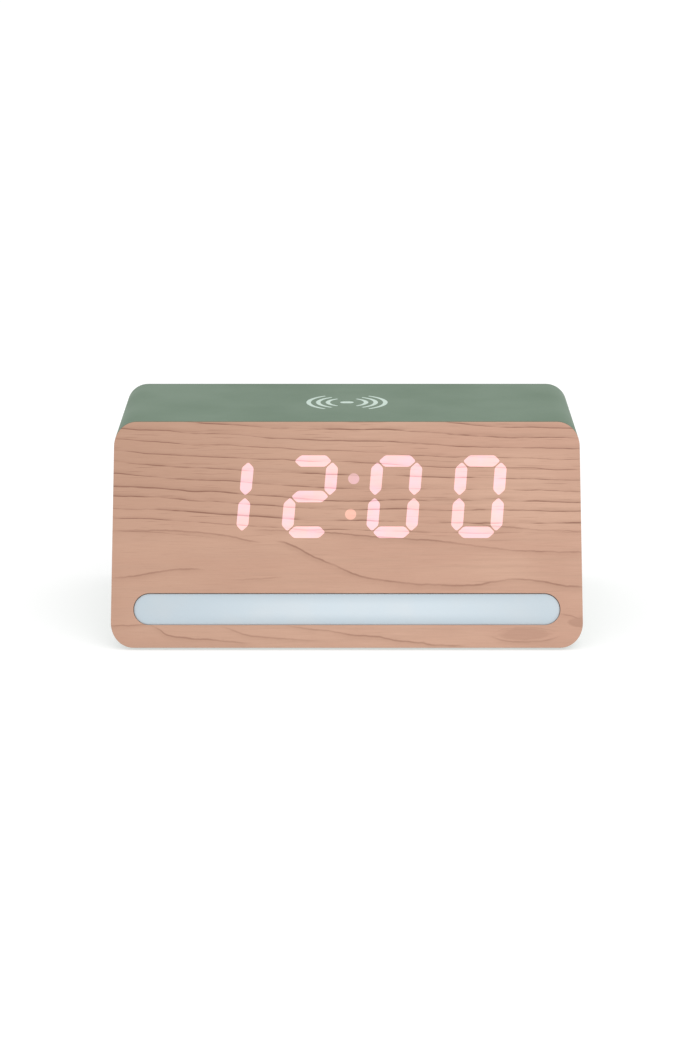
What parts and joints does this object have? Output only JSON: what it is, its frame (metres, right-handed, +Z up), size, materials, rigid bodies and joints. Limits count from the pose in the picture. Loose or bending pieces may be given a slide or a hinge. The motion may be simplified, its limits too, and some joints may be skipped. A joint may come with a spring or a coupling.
{
  "type": "alarm clock",
  "caption": "Wedge-shaped bedside alarm clock: wood-veneered leaning face with digits that shine through, a light bar and a wireless charging pad in the flat top.",
  "frame": {"origin": "on the table, under the middle of the box round the clock", "axes": "+X to the right across the face, -Y towards the person reading the clock, +Z up"},
  "size_m": [0.15, 0.1, 0.067],
  "materials": {
    "case_green": "fine matt moulding",
    "cover_green": "fine matt moulding, a shade darker",
    "oak_veneer": "thin wood veneer, matt lacquer; lets the display shine through",
    "black_abs": "moulded",
    "white_abs": "moulded, reflecting",
    "foot_rubber": "soft, matt",
    "mark_ink": "pale printed ink",
    "milky_lens": "milky, satin",
    "diffuser_film": "frosted film",
    "circuit_green": "solder mask on glass laminate",
    "circuit_white": "white solder mask",
    "led_warm": "small lamp body",
    "led_pink": "small lamp body",
    "chip_black": "moulded component",
    "switch_black": "moulded",
    "buzzer_black": "moulded",
    "header_white": "moulded nylon",
    "plug_white": "moulded nylon",
    "copper_wire": "enamelled copper wire",
    "litz_wire": "enamelled copper wire",
    "ferrite": "sintered, dull",
    "plated_steel": "nickel plated",
    "screw_steel": "zinc plated",
    "cell_steel": "bright",
    "cable_red": "wire insulation",
    "cable_grey": "ribbon insulation",
    "button_plastic": "satin",
    "plunger_plastic": "moulded nylon"
  },
  "bodies": {
    "case": {"battery_holder": "switch_black", "board_headers": "header_white", "buzzer": "buzzer_black", "cable_plugs": "plug_white", "case_sleeve": "case_green", "cell_clip": "plated_steel", "cell_contact": "plated_steel", "charge_mark": "mark_ink", "charger_screws": "screw_steel", "charging_board": "circuit_green", "charging_coil": "copper_wire", "charging_parts": "chip_black", "coil_carrier": "black_abs", "coil_leads": "litz_wire", "coil_screws": "screw_steel", "coin_cell": "cell_steel", "cover_screws": "screw_steel", "display_board": "circuit_green", "display_cable": "cable_grey", "display_driver": "chip_black", "display_film": "diffuser_film", "display_leds": "led_pink", "display_screws": "screw_steel", "ferrite_disc": "ferrite", "front_board": "black_abs", "front_board_screws": "screw_steel", "front_veneer": "oak_veneer", "light_board": "circuit_white", "light_cable": "cable_red", "light_leds": "led_warm", "light_lens": "milky_lens", "light_screws": "screw_steel", "light_tray": "white_abs", "main_board": "circuit_green", "main_board_screws": "screw_steel", "main_parts": "chip_black", "power_cable": "cable_red", "rear_cover": "cover_green", "rubber_feet": "foot_rubber", "segment_mask": "black_abs", "tact_switches": "switch_black", "usb_shell": "plated_steel", "usb_tongue": "switch_black"},
    "set_button": {"button_set": "button_plastic", "plunger_set": "plunger_plastic"},
    "down_button": {"button_down": "button_plastic", "plunger_down": "plunger_plastic"},
    "up_button": {"button_up": "button_plastic", "plunger_up": "plunger_plastic"},
    "light_button": {"button_light": "button_plastic", "plunger_light": "plunger_plastic"},
    "cell_door": {"battery_door": "cover_green"}
  },
  "joints": [
    {"name": "set_press", "type": "slide", "parent": "case", "child": "set_button", "axis": [0, -1, 0], "range_m": [0, 0.0004], "stiffness_N_per_m": 600, "springref_m": -0.0006},
    {"name": "down_press", "type": "slide", "parent": "case", "child": "down_button", "axis": [0, -1, 0], "range_m": [0, 0.0004], "stiffness_N_per_m": 600, "springref_m": -0.0006},
    {"name": "up_press", "type": "slide", "parent": "case", "child": "up_button", "axis": [0, -1, 0], "range_m": [0, 0.0004], "stiffness_N_per_m": 600, "springref_m": -0.0006},
    {"name": "light_press", "type": "slide", "parent": "case", "child": "light_button", "axis": [0, -1, 0], "range_m": [0, 0.0004], "stiffness_N_per_m": 600, "springref_m": -0.0006},
    {"name": "door_twist", "type": "hinge", "parent": "case", "child": "cell_door", "pos_m": [0.028, 0.0485, 0.031], "axis": [0, 1, 0], "range_deg": [0, 50]}
  ]
}
